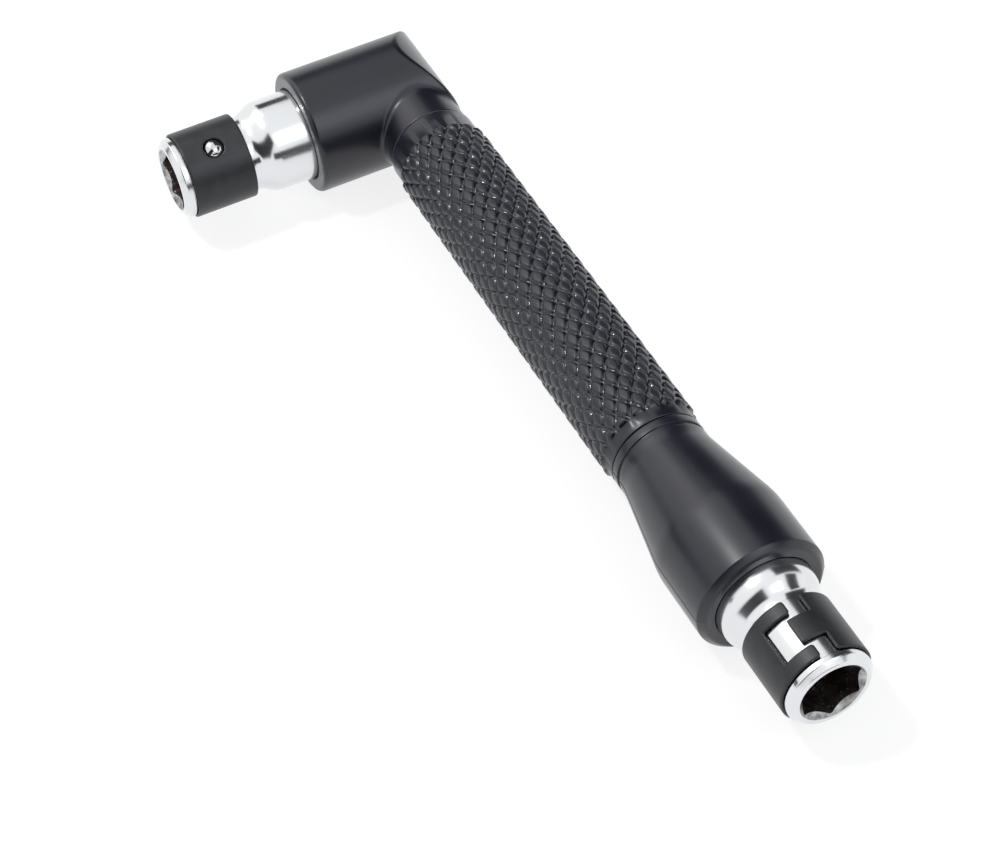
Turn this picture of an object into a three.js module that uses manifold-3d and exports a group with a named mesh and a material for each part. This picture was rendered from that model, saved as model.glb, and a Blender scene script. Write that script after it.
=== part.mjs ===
// L-shaped wrench that drives quarter-inch hex bits from a socket at each end.
// The tool frame has its origin where the two axes cross: the handle runs along +X,
// the head points along -Y and the wrench lies flat with +Z up. Sizes are in millimetres.
import * as THREE from 'three';
import { mergeVertices } from 'three/addons/utils/BufferGeometryUtils.js';
import Module from 'manifold-3d';

const wasm = await Module();
wasm.setup();

// Clearance between neighbours, facet counts, and how far a cutter runs past a face
const FIT = 0.15;
const ROUND = 48;
const SMALL_ROUND = 24;
const PAST = 1.0;

// Spring clip, a split sleeve
const CLIP_LENGTH = 7.75;
const CLIP_WALL = 0.35;
const TAB_LENGTH = 1.7;
const SEAM_HALF_WIDTH = 1.16;
const TAB_REACH = 0.36;
const WINDOW_DEPTH = 2.69;
const TONGUE_REACH = 0.46;
const TONGUE_GAP = 0.62;

// Socket, from its hex outwards
const HEX_BIT = 6.35;
const HEX_CLEARANCE = 0.1;
const HEX_FLATS = HEX_BIT + HEX_CLEARANCE;
const SOCKET_WALL = 1.03;
const SEAT_RADIUS = HEX_FLATS / Math.sqrt(3) + SOCKET_WALL;
const LIP_HEIGHT = 0.2;
const LIP_BEVEL = 0.6;
const LIP_RADIUS = SEAT_RADIUS + LIP_HEIGHT;
const RIM_RADIUS = LIP_RADIUS - LIP_BEVEL;
const RIM_LAND = 0.45;
const COUNTERSINK_DEPTH = 0.65;
const SHOULDER_HEIGHT = 0.9;
const COLLAR_RADIUS = SEAT_RADIUS + SHOULDER_HEIGHT;

// Socket, from its mouth back to its shank
const BORE_DEPTH = 9.6;
const LIP_LENGTH = 1.4;
const WAIST_LENGTH = 0.9;
const WAIST_CUT = 0.15;
const SHOULDER_LENGTH = 1.85;
const SHOULDER_BACK = LIP_LENGTH + CLIP_LENGTH + WAIST_LENGTH + SHOULDER_LENGTH;
const HANDLE_COLLAR = 1.7;
const HEAD_COLLAR = 4.9;
const COLLAR_SINK = 0.8;

// Shank that the body grips, a hex with a ring groove round its middle
const SHANK_STEP = 0.92;
const SHANK_FLATS = (COLLAR_RADIUS - SHANK_STEP) * Math.sqrt(3);
const SHANK_LAND = 3.0;
const SHANK_GROOVE = 1.6;
const SHANK_GROOVE_DEPTH = 0.7;
const SHANK_LENGTH = 2 * SHANK_LAND + SHANK_GROOVE;

// Detent ball, held in its bore by the clip
const BALL_RADIUS = 1.4;
const BALL_PROUD = 0.23;
const HANDLE_BALL_TURN = 180;
const HEAD_BALL_TURN = -25.6;

// Grip, a knurled sleeve on a hex core
const CORE_FLATS = 6.6;
const CORE_WEB = 3.0;
const GRIP_WALL = 1.52;
const BAND_RADIUS = (CORE_FLATS + 2 * FIT) / Math.sqrt(3) + GRIP_WALL;
const FRONT_BAND = 3.1;
const KNURL_LENGTH = 52.0;
const REAR_BAND = 1.6;
const KNURL_RAISE = 0.45;
const KNURL_CUT = 0.1;
const KNURL_AROUND = 18;
const KNURL_PITCH = 2.92;

// Head and neck
const HEAD_FACE = 13.3;
const HEAD_WALL = 1.8;
const HEAD_RADIUS = COLLAR_RADIUS + FIT + HEAD_WALL;
const HEAD_EDGE = 0.35;
const BACK_EASE = 1.1;
const BACK_RADIUS = HEAD_RADIUS + BACK_EASE;
const NECK_STEP = 0.2;
const NECK_RADIUS = BAND_RADIUS - NECK_STEP;
const NECK_FILLET = 0.9;
const NECK_REACH = 2.7;

// Flared end
const FLARE_BAND = 2.6;
const CONE_LENGTH = 11.0;
const FLARE_LENGTH = 9.2;
const FLARE_WALL = 1.8;
const FLARE_RADIUS = COLLAR_RADIUS + FIT + FLARE_WALL;
const FLARE_EDGE = 0.7;
const RING_GROOVE_WIDTH = 0.5;
const RING_GROOVE_DEPTH = 0.18;

// Places along the two arms, from the crossing of their axes
const NECK_END = HEAD_RADIUS + NECK_REACH;
const KNURL_START = NECK_END + FRONT_BAND;
const KNURL_END = KNURL_START + KNURL_LENGTH;
const GRIP_END = KNURL_END + REAR_BAND;
const CONE_START = GRIP_END + FLARE_BAND;
const FLARE_START = CONE_START + CONE_LENGTH;
const FLARE_FACE = FLARE_START + FLARE_LENGTH;
const CORE_END = FLARE_FACE - COLLAR_SINK - SHANK_LENGTH - CORE_WEB;
const HANDLE_MOUTH = FLARE_FACE + HANDLE_COLLAR + SHOULDER_BACK;
const HEAD_MOUTH = HEAD_FACE + HEAD_COLLAR + SHOULDER_BACK;

// Each arm: the turn about Z that lays a turned profile along it, and its socket's turn about its axis
const HANDLE_ARM = { lay: -Math.PI / 2, turn: THREE.MathUtils.degToRad(HANDLE_BALL_TURN) };
const HEAD_ARM = { lay: Math.PI, turn: THREE.MathUtils.degToRad(HEAD_BALL_TURN) };
const OWN_AXIS = { lay: HANDLE_ARM.lay, turn: 0 };

// Finishes
const BLACK_BODY = { color: 0x2b2d31, roughness: 0.45, metalness: 0.0 };
const CHROME = { color: 0xd9dbdd, roughness: 0.08, metalness: 1.0 };
const BLACK_STEEL = { color: 0x3b3c3d, roughness: 0.4, metalness: 0.7 };
const BRIGHT_STEEL = { color: 0xc4c6c8, roughness: 0.15, metalness: 1.0 };

// A closed geometry as a solid that can be cut and joined
function solid(geometry) {
  const bare = geometry.clone();
  bare.deleteAttribute('normal');
  bare.deleteAttribute('uv');
  const merged = mergeVertices(bare, 1e-5);
  return new wasm.Manifold(new wasm.Mesh({
    numProp: 3,
    vertProperties: new Float32Array(merged.attributes.position.array),
    triVerts: new Uint32Array(merged.index.array),
  }));
}

// A solid back as a mesh with its node's name and finish
function piece(name, body, finish) {
  const mesh = body.getMesh();
  const geometry = new THREE.BufferGeometry();
  geometry.setAttribute('position', new THREE.BufferAttribute(new Float32Array(mesh.vertProperties), 3));
  geometry.setIndex(new THREE.BufferAttribute(new Uint32Array(mesh.triVerts), 1));
  geometry.computeVertexNormals();
  const part = new THREE.Mesh(geometry, new THREE.MeshStandardMaterial(finish));
  part.name = name;
  return part;
}

// A profile of [distance, radius] points, rear to front, turned about an arm's axis
function turned(profile, arm, segments = ROUND, turn = 0) {
  const points = profile.map(([distance, radius]) => new THREE.Vector2(radius, distance));
  return solid(new THREE.LatheGeometry(points, segments, turn).rotateZ(arm.lay));
}

// A plain round bar along an arm
function bar(from, to, radius, arm) {
  return turned([[from, 0], [from, radius], [to, radius], [to, 0]], arm);
}

// A hex bar along an arm, with one corner up before the socket's turn
function hexBar(from, to, flats, arm) {
  const corner = flats / Math.sqrt(3);
  return turned([[from, 0], [from, corner], [to, corner], [to, 0]], arm, 6, arm.turn);
}

// The shank behind a socket's collar, from its front end backwards, grown by a clearance
function shank(front, grow, arm) {
  const landEnd = front - SHANK_LAND;
  const grooveEnd = landEnd - SHANK_GROOVE;
  const flats = SHANK_FLATS + 2 * grow;
  const waistRadius = SHANK_FLATS / 2 - SHANK_GROOVE_DEPTH + grow;
  const waist = bar(grooveEnd - PAST, landEnd + PAST, waistRadius, arm);
  const frontLand = hexBar(landEnd - grow, front + COLLAR_SINK / 2, flats, arm);
  const rearLand = hexBar(front - SHANK_LENGTH - grow, grooveEnd + grow, flats, arm);
  return waist.add(frontLand).add(rearLand);
}

// The pocket that the body leaves behind its face for a collar and its shank
function pocket(face, arm) {
  const floor = face - COLLAR_SINK;
  return bar(floor - FIT, face + PAST, COLLAR_RADIUS + FIT, arm).add(shank(floor, FIT, arm));
}

// A chrome socket with its mouth at x = 0 and its ball bore up
function socket(name, collar) {
  const rear = -SHOULDER_BACK - collar - COLLAR_SINK;
  const lipStart = -LIP_LENGTH + FIT;
  const seatEnd = -LIP_LENGTH - CLIP_LENGTH - FIT;
  const mouthRadius = RIM_RADIUS - RIM_LAND;
  const outside = turned([
    [rear, 0],
    [rear, COLLAR_RADIUS],
    [-SHOULDER_BACK, COLLAR_RADIUS],
    [-SHOULDER_BACK + SHOULDER_LENGTH, SEAT_RADIUS - WAIST_CUT],
    [seatEnd, SEAT_RADIUS - WAIST_CUT],
    [seatEnd, SEAT_RADIUS],
    [lipStart, SEAT_RADIUS],
    [lipStart, LIP_RADIUS],
    [-LIP_BEVEL, LIP_RADIUS],
    [0, RIM_RADIUS],
    [0, 0],
  ], OWN_AXIS);
  const countersink = turned([
    [-COUNTERSINK_DEPTH, 0],
    [-COUNTERSINK_DEPTH, HEX_FLATS / 2],
    [0, mouthRadius],
    [PAST, mouthRadius],
    [PAST, 0],
  ], OWN_AXIS);
  const boreRadius = BALL_RADIUS + FIT;
  const ballBore = new THREE.CylinderGeometry(boreRadius, boreRadius, COLLAR_RADIUS, SMALL_ROUND);
  ballBore.rotateX(Math.PI / 2).translate(ballPlace(), 0, COLLAR_RADIUS / 2);
  const body = outside
    .add(shank(rear, 0, OWN_AXIS))
    .subtract(hexBar(-BORE_DEPTH, PAST, HEX_FLATS, OWN_AXIS))
    .subtract(countersink)
    .subtract(solid(ballBore));
  return piece(name, body, CHROME);
}

// The ball and its hole lie at the middle of the clip
function ballPlace() {
  return -LIP_LENGTH - CLIP_LENGTH / 2;
}

// The ball's centre above the socket's axis: its top stands a little proud of the clip
function ballHeight() {
  return SEAT_RADIUS + FIT + CLIP_WALL + BALL_PROUD - BALL_RADIUS;
}

// A spring clip round the socket's seat: a split sleeve whose ends lock by two tabs and a tongue
function clip(name) {
  const inner = SEAT_RADIUS + FIT;
  const outer = inner + CLIP_WALL;
  const front = -LIP_LENGTH;
  const rear = front - CLIP_LENGTH;
  const frontTab = front - TAB_LENGTH;
  const rearTab = rear + TAB_LENGTH;
  const tabTip = SEAM_HALF_WIDTH - TAB_REACH;
  const tongueTip = SEAM_HALF_WIDTH + TONGUE_REACH;
  const windowEnd = SEAM_HALF_WIDTH + WINDOW_DEPTH;
  const seam = new THREE.Shape([
    new THREE.Vector2(rear - PAST, tabTip),
    new THREE.Vector2(rearTab, tabTip),
    new THREE.Vector2(rearTab, windowEnd),
    new THREE.Vector2(frontTab, windowEnd),
    new THREE.Vector2(frontTab, tabTip),
    new THREE.Vector2(front + PAST, tabTip),
    new THREE.Vector2(front + PAST, -SEAM_HALF_WIDTH),
    new THREE.Vector2(frontTab - TONGUE_GAP, -SEAM_HALF_WIDTH),
    new THREE.Vector2(frontTab - TONGUE_GAP, tongueTip),
    new THREE.Vector2(rearTab + TONGUE_GAP, tongueTip),
    new THREE.Vector2(rearTab + TONGUE_GAP, -SEAM_HALF_WIDTH),
    new THREE.Vector2(rear - PAST, -SEAM_HALF_WIDTH),
  ]);
  const seamCut = new THREE.ExtrudeGeometry(seam, { depth: outer, bevelEnabled: false });
  seamCut.translate(0, 0, -outer - PAST);
  // The ball passes the hole only down to the clip's inner face
  const drop = inner - ballHeight();
  const holeRadius = Math.sqrt(BALL_RADIUS ** 2 - drop ** 2) + FIT;
  const hole = new THREE.CylinderGeometry(holeRadius, holeRadius, outer, SMALL_ROUND);
  hole.rotateX(Math.PI / 2).translate(ballPlace(), 0, outer);
  const sleeve = bar(rear, front, outer, OWN_AXIS).subtract(bar(rear - PAST, front + PAST, inner, OWN_AXIS));
  return piece(name, sleeve.subtract(solid(seamCut)).subtract(solid(hole)), BLACK_STEEL);
}

// A detent ball, resting with its lower side in the hex bore
function ball(name) {
  const sphere = new THREE.SphereGeometry(BALL_RADIUS, 16, 12);
  sphere.translate(ballPlace(), 0, ballHeight());
  return piece(name, solid(sphere), BRIGHT_STEEL);
}

// The head, the neck and the core that the grip slides over
function elbowHead() {
  const headBar = turned([
    [-HEAD_RADIUS, 0],
    [-HEAD_RADIUS, HEAD_RADIUS],
    [HEAD_FACE - HEAD_EDGE, HEAD_RADIUS],
    [HEAD_FACE, HEAD_RADIUS - HEAD_EDGE],
    [HEAD_FACE, 0],
  ], HEAD_ARM);
  const neckRoot = turned([
    [0, 0],
    [0, NECK_RADIUS + NECK_FILLET],
    [HEAD_RADIUS - NECK_FILLET, NECK_RADIUS + NECK_FILLET],
    [HEAD_RADIUS - NECK_FILLET / 2, NECK_RADIUS + NECK_FILLET / 3],
    [HEAD_RADIUS + NECK_FILLET, NECK_RADIUS],
    [HEAD_RADIUS + NECK_FILLET, 0],
  ], HANDLE_ARM);
  // The back is rounded over from top to bottom, along the handle's direction, flush with the neck
  const backCentre = NECK_RADIUS - BACK_RADIUS;
  const keep = new THREE.Shape();
  keep.moveTo(backCentre, BACK_RADIUS);
  keep.lineTo(-HEAD_FACE - PAST, BACK_RADIUS);
  keep.lineTo(-HEAD_FACE - PAST, -BACK_RADIUS);
  keep.lineTo(backCentre, -BACK_RADIUS);
  keep.absarc(backCentre, 0, BACK_RADIUS, -Math.PI / 2, Math.PI / 2, false);
  const envelope = new THREE.ExtrudeGeometry(keep, {
    depth: 2 * HEAD_RADIUS + NECK_FILLET + 2 * PAST,
    bevelEnabled: false,
    curveSegments: SMALL_ROUND,
  });
  // The section's width lies along Y and its height along Z, so it is drawn out along X
  envelope.translate(0, 0, -HEAD_RADIUS - PAST).rotateX(Math.PI / 2).rotateZ(Math.PI / 2);
  const body = headBar
    .add(neckRoot)
    .intersect(solid(envelope))
    .add(bar(HEAD_RADIUS - NECK_FILLET, NECK_END, NECK_RADIUS, HANDLE_ARM))
    .add(hexBar(0, CORE_END, CORE_FLATS, OWN_AXIS))
    .subtract(pocket(HEAD_FACE, HEAD_ARM));
  return piece('elbow_head', body, BLACK_BODY);
}

// The knurled sleeve: rows of points round the axis, raised and lowered in turn over the knurl
function knurledGrip() {
  const around = 2 * KNURL_AROUND;
  const start = NECK_END + FIT;
  const end = GRIP_END - FIT;
  const rows = 2 * Math.round(KNURL_LENGTH / KNURL_PITCH);
  const rings = [{ x: start, radius: () => 0 }, { x: start, radius: () => BAND_RADIUS }];
  for (let row = 0; row <= rows; row += 1) {
    const plain = row === 0 || row === rows;
    const stud = (column) => BAND_RADIUS + ((row + column) % 2 ? -KNURL_CUT : KNURL_RAISE);
    rings.push({ x: KNURL_START + (row * KNURL_LENGTH) / rows, radius: plain ? () => BAND_RADIUS : stud, row });
  }
  rings.push({ x: end, radius: () => BAND_RADIUS }, { x: end, radius: () => 0 });
  const positions = [];
  for (const ring of rings) {
    for (let column = 0; column < around; column += 1) {
      const angle = (column * 2 * Math.PI) / around;
      const radius = ring.radius(column);
      positions.push(ring.x, radius * Math.sin(angle), radius * Math.cos(angle));
    }
  }
  const index = [];
  for (let number = 0; number + 1 < rings.length; number += 1) {
    const { row } = rings[number];
    for (let column = 0; column < around; column += 1) {
      const beside = (column + 1) % around;
      const a = number * around + column;
      const b = number * around + beside;
      const c = b + around;
      const d = a + around;
      // The fold runs from valley to valley, so each raised point is a four-sided stud
      const foldFromA = row !== undefined && (row + column) % 2 === 1;
      if (foldFromA) index.push(a, c, b, a, d, c);
      else index.push(a, d, b, b, d, c);
    }
  }
  const geometry = new THREE.BufferGeometry();
  geometry.setAttribute('position', new THREE.BufferAttribute(new Float32Array(positions), 3));
  geometry.setIndex(index);
  const coreBore = hexBar(start - PAST, end + PAST, CORE_FLATS + 2 * FIT, OWN_AXIS);
  return piece('knurled_grip', solid(geometry).subtract(coreBore), BLACK_BODY);
}

// The flared end that holds the handle socket, keyed on the core's hex
function flaredEnd() {
  const grooveStart = GRIP_END + (FLARE_BAND - RING_GROOVE_WIDTH) / 2;
  const grooveEnd = grooveStart + RING_GROOVE_WIDTH;
  const outside = turned([
    [GRIP_END, 0],
    [GRIP_END, BAND_RADIUS],
    [grooveStart, BAND_RADIUS],
    [grooveStart, BAND_RADIUS - RING_GROOVE_DEPTH],
    [grooveEnd, BAND_RADIUS - RING_GROOVE_DEPTH],
    [grooveEnd, BAND_RADIUS],
    [CONE_START, BAND_RADIUS],
    [FLARE_START, FLARE_RADIUS],
    [FLARE_FACE - FLARE_EDGE, FLARE_RADIUS],
    [FLARE_FACE, FLARE_RADIUS - FLARE_EDGE],
    [FLARE_FACE, 0],
  ], HANDLE_ARM);
  const coreBore = hexBar(GRIP_END - PAST, CORE_END + FIT, CORE_FLATS + 2 * FIT, OWN_AXIS);
  return piece('flared_end', outside.subtract(coreBore).subtract(pocket(FLARE_FACE, HANDLE_ARM)), BLACK_BODY);
}

// A socket with its clip and ball, turned about its axis so that the ball faces its own way
function socketSet(prefix, collar, arm) {
  const set = new THREE.Group();
  set.add(socket(`${prefix}_socket`, collar), clip(`${prefix}_clip`), ball(`${prefix}_ball`));
  set.rotation.x = arm.turn;
  const end = new THREE.Group();
  end.add(set);
  end.rotation.z = arm.lay - OWN_AXIS.lay;
  return end;
}

const tool = new THREE.Group();
tool.add(elbowHead(), knurledGrip(), flaredEnd());

const handleEnd = socketSet('handle', HANDLE_COLLAR, HANDLE_ARM);
handleEnd.position.x = HANDLE_MOUTH;
tool.add(handleEnd);

const headEnd = socketSet('head', HEAD_COLLAR, HEAD_ARM);
headEnd.position.y = -HEAD_MOUTH;
tool.add(headEnd);

// The wrench lies on the table with the origin under the middle of its box
const widest = Math.max(HEAD_RADIUS, FLARE_RADIUS);
tool.position.set((HEAD_RADIUS - HANDLE_MOUTH) / 2, (HEAD_MOUTH - FLARE_RADIUS) / 2, widest);

const wrench = new THREE.Group();
wrench.name = 'l_shaped_bit_wrench';
wrench.add(tool);

export default wrench;
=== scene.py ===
import math

import bpy
import numpy as np
from mathutils import Matrix, Vector


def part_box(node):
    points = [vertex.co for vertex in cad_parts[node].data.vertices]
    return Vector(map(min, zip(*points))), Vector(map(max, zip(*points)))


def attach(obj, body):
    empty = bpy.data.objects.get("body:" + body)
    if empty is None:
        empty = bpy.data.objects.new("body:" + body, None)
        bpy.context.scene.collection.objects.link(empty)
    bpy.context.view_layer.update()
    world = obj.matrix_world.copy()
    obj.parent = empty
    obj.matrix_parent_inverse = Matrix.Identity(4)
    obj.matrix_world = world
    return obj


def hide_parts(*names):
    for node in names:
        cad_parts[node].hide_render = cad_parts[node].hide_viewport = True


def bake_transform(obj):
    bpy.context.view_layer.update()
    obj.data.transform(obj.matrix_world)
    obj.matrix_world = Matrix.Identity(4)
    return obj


# Looks of an L-shaped wrench for hex bits. Sizes are in millimetres, in the tool frame: its origin is where
# the two axes cross, the handle runs along +X, the head points along -Y and the wrench lies flat, +Z up.
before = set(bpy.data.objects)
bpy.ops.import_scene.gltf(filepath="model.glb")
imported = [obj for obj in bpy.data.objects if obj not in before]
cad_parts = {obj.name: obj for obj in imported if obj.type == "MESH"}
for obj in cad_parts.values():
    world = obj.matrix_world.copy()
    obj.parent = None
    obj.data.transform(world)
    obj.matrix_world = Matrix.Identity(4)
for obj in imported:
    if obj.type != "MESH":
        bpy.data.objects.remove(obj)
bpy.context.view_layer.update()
scene = bpy.context.scene
MM = 0.001

# The frame's own places
flare_low, flare_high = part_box("flared_end")
head_low, head_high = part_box("head_socket")
CROSSING = Vector((
    (head_low.x + head_high.x) / 2,
    (flare_low.y + flare_high.y) / 2,
    (flare_low.z + flare_high.z) / 2,
))


def span(node):
    """A node's lowest and highest corners in the tool frame, in millimetres."""
    low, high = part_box(node)
    return (low - CROSSING) / MM, (high - CROSSING) / MM


ELBOW_LOW, ELBOW_HIGH = span("elbow_head")
GRIP_LOW, GRIP_HIGH = span("knurled_grip")
FLARE_LOW, FLARE_HIGH = span("flared_end")
HANDLE_MOUTH = span("handle_socket")[1].x
HEAD_MOUTH = -span("head_socket")[0].y
CLIP_LOW, CLIP_HIGH = span("handle_clip")
BALL_LOW, BALL_HIGH = span("handle_ball")

# Clearances that the pieces keep
FIT = 0.15

# Head, neck and core
HEAD_RADIUS = ELBOW_HIGH.z
HEAD_FACE = -ELBOW_LOW.y
HEAD_EDGE = 0.32
NECK_RADIUS = ELBOW_HIGH.y
NECK_END = GRIP_LOW.x - FIT
NECK_BLEND = 0.6
BACK_SWELL = 1.1
BACK_RADIUS = HEAD_RADIUS + BACK_SWELL
CREASE_EASE = 0.22
POCKET_EASE = 0.1
CORE_END = ELBOW_HIGH.x
CORE_FLATS = 6.6
CORE_START = 2.0
CORE_RELIEF = 0.15
CORE_EDGE = 0.2

# Grip
BAND_RADIUS = 5.5
BAND_EDGE = 0.15
KNURL_SETBACK = 3.1
KNURL_START = NECK_END + KNURL_SETBACK
KNURL_LENGTH = 52.0
KNURL_AROUND = 18
KNURL_PITCH = 2.93
KNURL_TURN = 0.22
KNURL_SHIFT = 0.154
KNURL_RAMP = 0.3
PAD_RADIUS = 5.86
PAD_CROWN = 0.03
PAD_STEPS = 16
PAD_CORNER = 0.3
GROOVE_DEPTH = 0.34
GROOVE_HALF_WIDTH = 0.39

# Flared end
GRIP_END = FLARE_LOW.x
FLARE_FACE = FLARE_HIGH.x
FLARE_RADIUS = FLARE_HIGH.z
FLARE_BAND = 2.6
FLARE_BAND_EDGE = 0.12
CONE_LENGTH = 11.0
CONE_EASE = 0.7
BARREL_EASE = 0.9
FLARE_EDGE = 0.75
FLARE_EDGE_EASE = 0.12
FLARE_FACE_EASE = 0.3
FLARE_DISH = 0.12
RECESS_CLEARANCE = 0.06
RECESS_EDGE = 0.12
RING_GROOVE_WIDTH = 0.5
RING_GROOVE_DEPTH = 0.18
RING_GROOVE_EDGE = 0.08
RING_GROOVE_ROOT = 0.06
PARTING_HEIGHT = 0.05
PARTING_WIDTH = 0.12

# Socket, measured from its mouth
HEX_FLATS = 6.45
HEX_RELIEF = 0.08
BORE_DEPTH = 9.6
BORE_EDGE = 0.05
SEAT_RADIUS = 4.754
SEAT_EDGE = 0.05
LIP_LENGTH = HANDLE_MOUTH - CLIP_HIGH.x
LIP_RADIUS = 4.954
LIP_EDGE = 0.08
BEVEL_EDGE = 0.1
RIM_RADIUS = 4.354
RIM_EDGE = 0.12
RIM_LAND = 0.45
MOUTH_RADIUS = RIM_RADIUS - RIM_LAND
MOUTH_EDGE = 0.06
COUNTERSINK_DEPTH = 0.65
COUNTERSINK_INSET = 0.04
WAIST_RADIUS = 4.6
WAIST_FRONT = 9.3
WAIST_BACK = 10.05
WAIST_EASE = 0.6
SHOULDER_BACK = 11.9
SHOULDER_EASE = 0.85
COLLAR_RADIUS = 5.654
COLLAR_EDGE = 0.15
COLLAR_SINK = 0.8
SHANK_FLATS = 8.2
SHANK_RELIEF = 0.15
SHANK_EDGE = 0.3
SHANK_LAND = 3.0
SHANK_GROOVE = 1.6
SHANK_GROOVE_RADIUS = 3.4

# Clip and ball
CLIP_OUTER = CLIP_HIGH.z
CLIP_WALL = 0.35
CLIP_LENGTH = CLIP_HIGH.x - CLIP_LOW.x
TAB_LENGTH = 1.7
SEAM_HALF_WIDTH = 1.16
TAB_REACH = 0.36
WINDOW_DEPTH = 2.69
TONGUE_REACH = 0.46
TONGUE_GAP = 0.62
CLIP_CORNER = 0.45
TONGUE_CORNER = 0.2
CLIP_EDGE = 0.16
BALL_RADIUS = (BALL_HIGH.x - BALL_LOW.x) / 2
BALL_HEIGHT = -(BALL_HIGH.z + BALL_LOW.z) / 2
BALL_HOLE_RADIUS = 1.285
BALL_PLACE = -LIP_LENGTH - CLIP_LENGTH / 2
HANDLE_TURN = math.pi
HEAD_TURN = math.radians(-25.6)

# How finely the meshes are divided: columns round a piece, rows, and grid steps in millimetres
ROUND_COLUMNS = 240
CORE_COLUMNS = 48
BALL_COLUMNS = 64
BALL_ROWS = 33
SOCKET_EDGE_STEPS = 12
PARTING_COLUMNS = 9
ELBOW_STEP = 0.16
CLIP_COLUMNS = 320
CLIP_STEP_ALONG = 0.11
CLIP_STEP_THROUGH = 0.09
HAIR = 0.01

# Photograph's view
CAMERA_PLACE = (185.44, -76.94, 220.52)
CAMERA_TARGET = (0.85, 0.82, 0.0)
CAMERA_ROLL = -4.69
CAMERA_LENS = 94.78
SENSOR_WIDTH = 36.0

# Dark cards round the studio that only reflections see: name, then four corners in metres
DARK_CARDS = (
    ("dark_card_right", (-3.0, 1.0, 0.14), (0.0, 1.0, 0.14), (0.0, 1.0, 2.4), (-3.0, 1.0, 2.4)),
    ("dark_card_far_right", (0.0, 1.0, 0.45), (1.2, 1.0, 0.45), (1.2, 1.0, 1.2), (0.0, 1.0, 1.2)),
    ("dark_card_back", (-2.0, 0.1, 0.5), (-2.0, 1.0, 0.5), (-2.0, 1.0, 1.5), (-2.0, 0.1, 1.5)),
    ("dark_card_left", (-2.1, -1.5, 0.05), (-1.1, -2.3, 0.05), (-1.1, -2.3, 0.6), (-2.1, -1.5, 0.6)),
    ("dark_card_front", (2.0, -1.0, 0.0), (2.0, 1.0, 0.0), (2.0, 1.0, 0.65), (2.0, -1.0, 0.65)),
    ("dark_card_viewer", (0.4, -1.9, 0.05), (1.5, -1.3, 0.05), (1.5, -0.25, 1.4), (0.55, -0.4, 1.8)),
)

# Share of a card's width and height over which it fades out at its edges
CARD_FADE = 0.05

# Lamps that are aimed at the wrench: name, place in metres, width in metres, power in watts, colour
LAMPS = (
    ("left_softbox", (-0.62, -0.27, 0.73), 0.58, 0.7, "ffffff"),
    ("front_softbox", (0.62, 0.26, 0.74), 0.5, 1.15, "e6eeff"),
    ("bare_bulb", (-0.17, -0.205, 0.545), 0.05, 0.95, "ffffff"),
)

# White floor and surround: half the floor's width in metres, and the strengths of their own light
FLOOR_REACH = 6.0
FLOOR_GLOW = 0.82
FLOOR_IN_REFLECTIONS = 0.9
SURROUND_FILL = 0.45
SURROUND_SEEN = 1.15


def linear(code):
    """A six-digit sRGB hex colour as linear RGBA."""
    channels = [int(code[place:place + 2], 16) / 255 for place in (0, 2, 4)]
    return [c / 12.92 if c <= 0.04045 else ((c + 0.055) / 1.055) ** 2.4 for c in channels] + [1.0]


def add(tree, kind, inputs=None, **settings):
    """Adds a node; each input is a value or the socket that it is linked from."""
    made = tree.nodes.new(kind)
    for name, value in settings.items():
        setattr(made, name, value)
    for name, value in (inputs or {}).items():
        if isinstance(value, bpy.types.NodeSocket):
            tree.links.new(value, made.inputs[name])
        else:
            made.inputs[name].default_value = value
    return made


def new_material(name):
    """A material with its tree, its shader and the position that its patterns are drawn in, in metres."""
    material = bpy.data.materials.new(name)
    material.use_nodes = True
    tree = material.node_tree
    shader = tree.nodes["Principled BSDF"]
    place = tree.nodes.new("ShaderNodeTexCoord").outputs["Object"]
    return material, tree, shader, place


def per_metre(size_mm):
    """The scale of a pattern whose features are this many millimetres wide."""
    return 1.0 / (size_mm * MM)


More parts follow.
